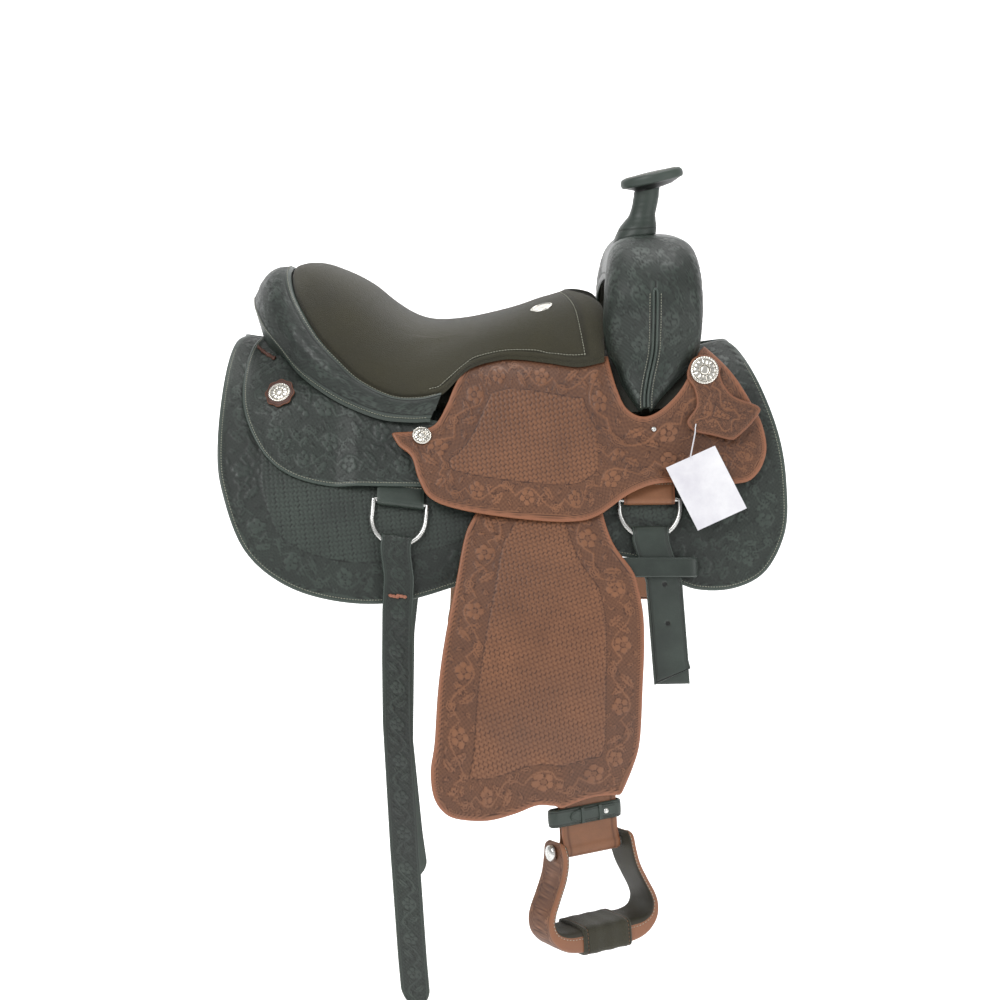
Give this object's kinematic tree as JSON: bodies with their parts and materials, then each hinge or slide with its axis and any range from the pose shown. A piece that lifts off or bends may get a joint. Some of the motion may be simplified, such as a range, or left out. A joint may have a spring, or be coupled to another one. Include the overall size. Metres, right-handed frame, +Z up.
{
  "type": "barrel racing saddle",
  "caption": "Western barrel racing saddle with a high horn, deep suede seat, tooled leather skirts and jockeys, swinging fenders and stirrups, rigging dees and billets.",
  "frame": {"origin": "top of the horse's back under the middle of the saddle", "axes": "+X forward to the horn, +Z up, the off (right) side at -Y"},
  "size_m": [0.6904, 0.7548, 1.0247],
  "materials": {
    "green_leather": "dark green-black tooled leather, satin",
    "tan_leather": "tooled tan leather, satin",
    "suede": "rough-out suede, matt",
    "fleece": "wool fleece pile",
    "wood": "covered wooden tree",
    "steel": "nickel-plated steel",
    "silver": "bright engraved silver plate",
    "black_leather": "glossy black leather",
    "card": "blank pale card"
  },
  "bodies": {
    "saddle": {"skirt_off": "green_leather", "skirt_near": "green_leather", "fleece_off": "fleece", "fleece_near": "fleece", "tree_bar_off": "wood", "tree_bar_near": "wood", "rear_jockey_off": "green_leather", "rear_jockey_near": "green_leather", "jockey_off": "tan_leather", "jockey_near": "tan_leather", "seat_pad": "suede", "ground_seat": "black_leather", "tree_cantle": "wood", "cantle_cover": "green_leather", "swell_cover": "green_leather", "tree_fork": "wood", "horn_wrap": "green_leather", "horn_post": "steel", "horn_cap": "black_leather", "leather_bight_off": "tan_leather", "leather_bight_near": "tan_leather", "rigging_off": "tan_leather", "rigging_near": "tan_leather", "rear_dee_strap_off": "green_leather", "rear_dee_strap_near": "green_leather", "front_concho_off": "silver", "front_concho_near": "silver", "seat_concho_off": "silver", "seat_concho_near": "silver", "rear_concho_off": "silver", "rear_concho_near": "silver", "seat_badge": "silver"},
    "fender_off": {"fender_off": "tan_leather", "stirrup_leather_off": "tan_leather", "hobble_strap_off": "green_leather", "blevins_plate_off": "steel"},
    "stirrup_off": {"stirrup_off": "tan_leather", "stirrup_tread_off": "suede", "stirrup_bolt_off": "steel"},
    "buckle_sleeve_off": {"blevins_sleeve_off": "steel"},
    "front_dee_off": {"front_dee_off": "steel"},
    "rear_dee_off": {"rear_dee_off": "steel"},
    "rear_billet_off": {"rear_billet_off": "green_leather"},
    "latigo_keeper_off": {"latigo_keeper_off": "tan_leather"},
    "fender_near": {"fender_near": "tan_leather", "stirrup_leather_near": "tan_leather", "hobble_strap_near": "green_leather", "blevins_plate_near": "steel"},
    "stirrup_near": {"stirrup_near": "tan_leather", "stirrup_tread_near": "suede", "stirrup_bolt_near": "steel"},
    "buckle_sleeve_near": {"blevins_sleeve_near": "steel"},
    "front_dee_near": {"front_dee_near": "steel"},
    "rear_dee_near": {"rear_dee_near": "steel"},
    "rear_billet_near": {"rear_billet_near": "green_leather"},
    "latigo_keeper_near": {"latigo_keeper_near": "tan_leather"},
    "off_billet": {"off_billet": "green_leather", "billet_keeper": "green_leather"},
    "latigo": {"latigo": "tan_leather"},
    "hang_tag": {"hang_tag": "card"}
  },
  "joints": [
    {"name": "fender_swing_off", "type": "hinge", "parent": "saddle", "child": "fender_off", "pos_m": [0.068, -0.15046, -0.09531], "axis": [-0.0695, 0.8813, -0.4673], "range_deg": [-15, 12]},
    {"name": "stirrup_swing_off", "type": "hinge", "parent": "fender_off", "child": "stirrup_off", "pos_m": [0.10626, -0.28967, -0.53863], "axis": [0.875, 0.4841, 0.0035], "range_deg": [-35, 30]},
    {"name": "sleeve_slide_off", "type": "slide", "parent": "fender_off", "child": "buckle_sleeve_off", "axis": [-0.0677, 0.1261, 0.9897], "range_m": [0, 0.015]},
    {"name": "front_dee_swing_off", "type": "hinge", "parent": "saddle", "child": "front_dee_off", "pos_m": [0.181, -0.16669, -0.14478], "axis": [-0.9965, -0.0835, 0.003], "range_deg": [0, 4.5]},
    {"name": "off_billet_turn", "type": "hinge", "parent": "front_dee_off", "child": "off_billet", "pos_m": [0.18119, -0.16926, -0.15319], "axis": [0.0807, -0.9529, 0.2923], "range_deg": [-8, 8]},
    {"name": "rear_dee_swing_off", "type": "hinge", "parent": "saddle", "child": "rear_dee_off", "pos_m": [-0.119, -0.1974, -0.14194], "axis": [0.9878, 0.0724, -0.1378], "range_deg": [-30, 0]},
    {"name": "rear_billet_turn_off", "type": "hinge", "parent": "rear_dee_off", "child": "rear_billet_off", "pos_m": [-0.12102, -0.20464, -0.16026], "axis": [0.1174, -0.928, 0.3537], "range_deg": [-8, 8]},
    {"name": "latigo_keeper_turn_off", "type": "hinge", "parent": "saddle", "child": "latigo_keeper_off", "pos_m": [0.24899, -0.12689, 0.00853], "axis": [-0.0063, -0.9686, 0.2486], "range_deg": [-10, 10]},
    {"name": "fender_swing_near", "type": "hinge", "parent": "saddle", "child": "fender_near", "pos_m": [0.068, 0.15046, -0.09531], "axis": [0.0695, 0.8813, 0.4673], "range_deg": [-15, 12]},
    {"name": "stirrup_swing_near", "type": "hinge", "parent": "fender_near", "child": "stirrup_near", "pos_m": [0.10626, 0.28967, -0.53863], "axis": [-0.875, 0.4841, -0.0035], "range_deg": [-35, 30]},
    {"name": "sleeve_slide_near", "type": "slide", "parent": "fender_near", "child": "buckle_sleeve_near", "axis": [-0.0677, -0.1261, 0.9897], "range_m": [0, 0.015]},
    {"name": "front_dee_swing_near", "type": "hinge", "parent": "saddle", "child": "front_dee_near", "pos_m": [0.181, 0.16669, -0.14478], "axis": [0.9965, -0.0835, -0.003], "range_deg": [0, 4.5]},
    {"name": "latigo_turn", "type": "hinge", "parent": "front_dee_near", "child": "latigo", "pos_m": [0.18119, 0.16926, -0.15319], "axis": [-0.0807, -0.9529, -0.2923], "range_deg": [-8, 8]},
    {"name": "rear_dee_swing_near", "type": "hinge", "parent": "saddle", "child": "rear_dee_near", "pos_m": [-0.119, 0.1974, -0.14194], "axis": [-0.9878, 0.0724, 0.1378], "range_deg": [-30, 0]},
    {"name": "rear_billet_turn_near", "type": "hinge", "parent": "rear_dee_near", "child": "rear_billet_near", "pos_m": [-0.12102, 0.20464, -0.16026], "axis": [-0.1174, -0.928, -0.3537], "range_deg": [-8, 8]},
    {"name": "latigo_keeper_turn_near", "type": "hinge", "parent": "saddle", "child": "latigo_keeper_near", "pos_m": [0.24899, 0.12689, 0.00853], "axis": [0.0063, -0.9686, -0.2486], "range_deg": [-10, 10]},
    {"name": "hang_tag_swing", "type": "hinge", "parent": "latigo_keeper_off", "child": "hang_tag", "pos_m": [0.23798, -0.14469, -0.05504], "axis": [-0.0063, -0.9686, 0.2486], "range_deg": [-8, 8]}
  ]
}
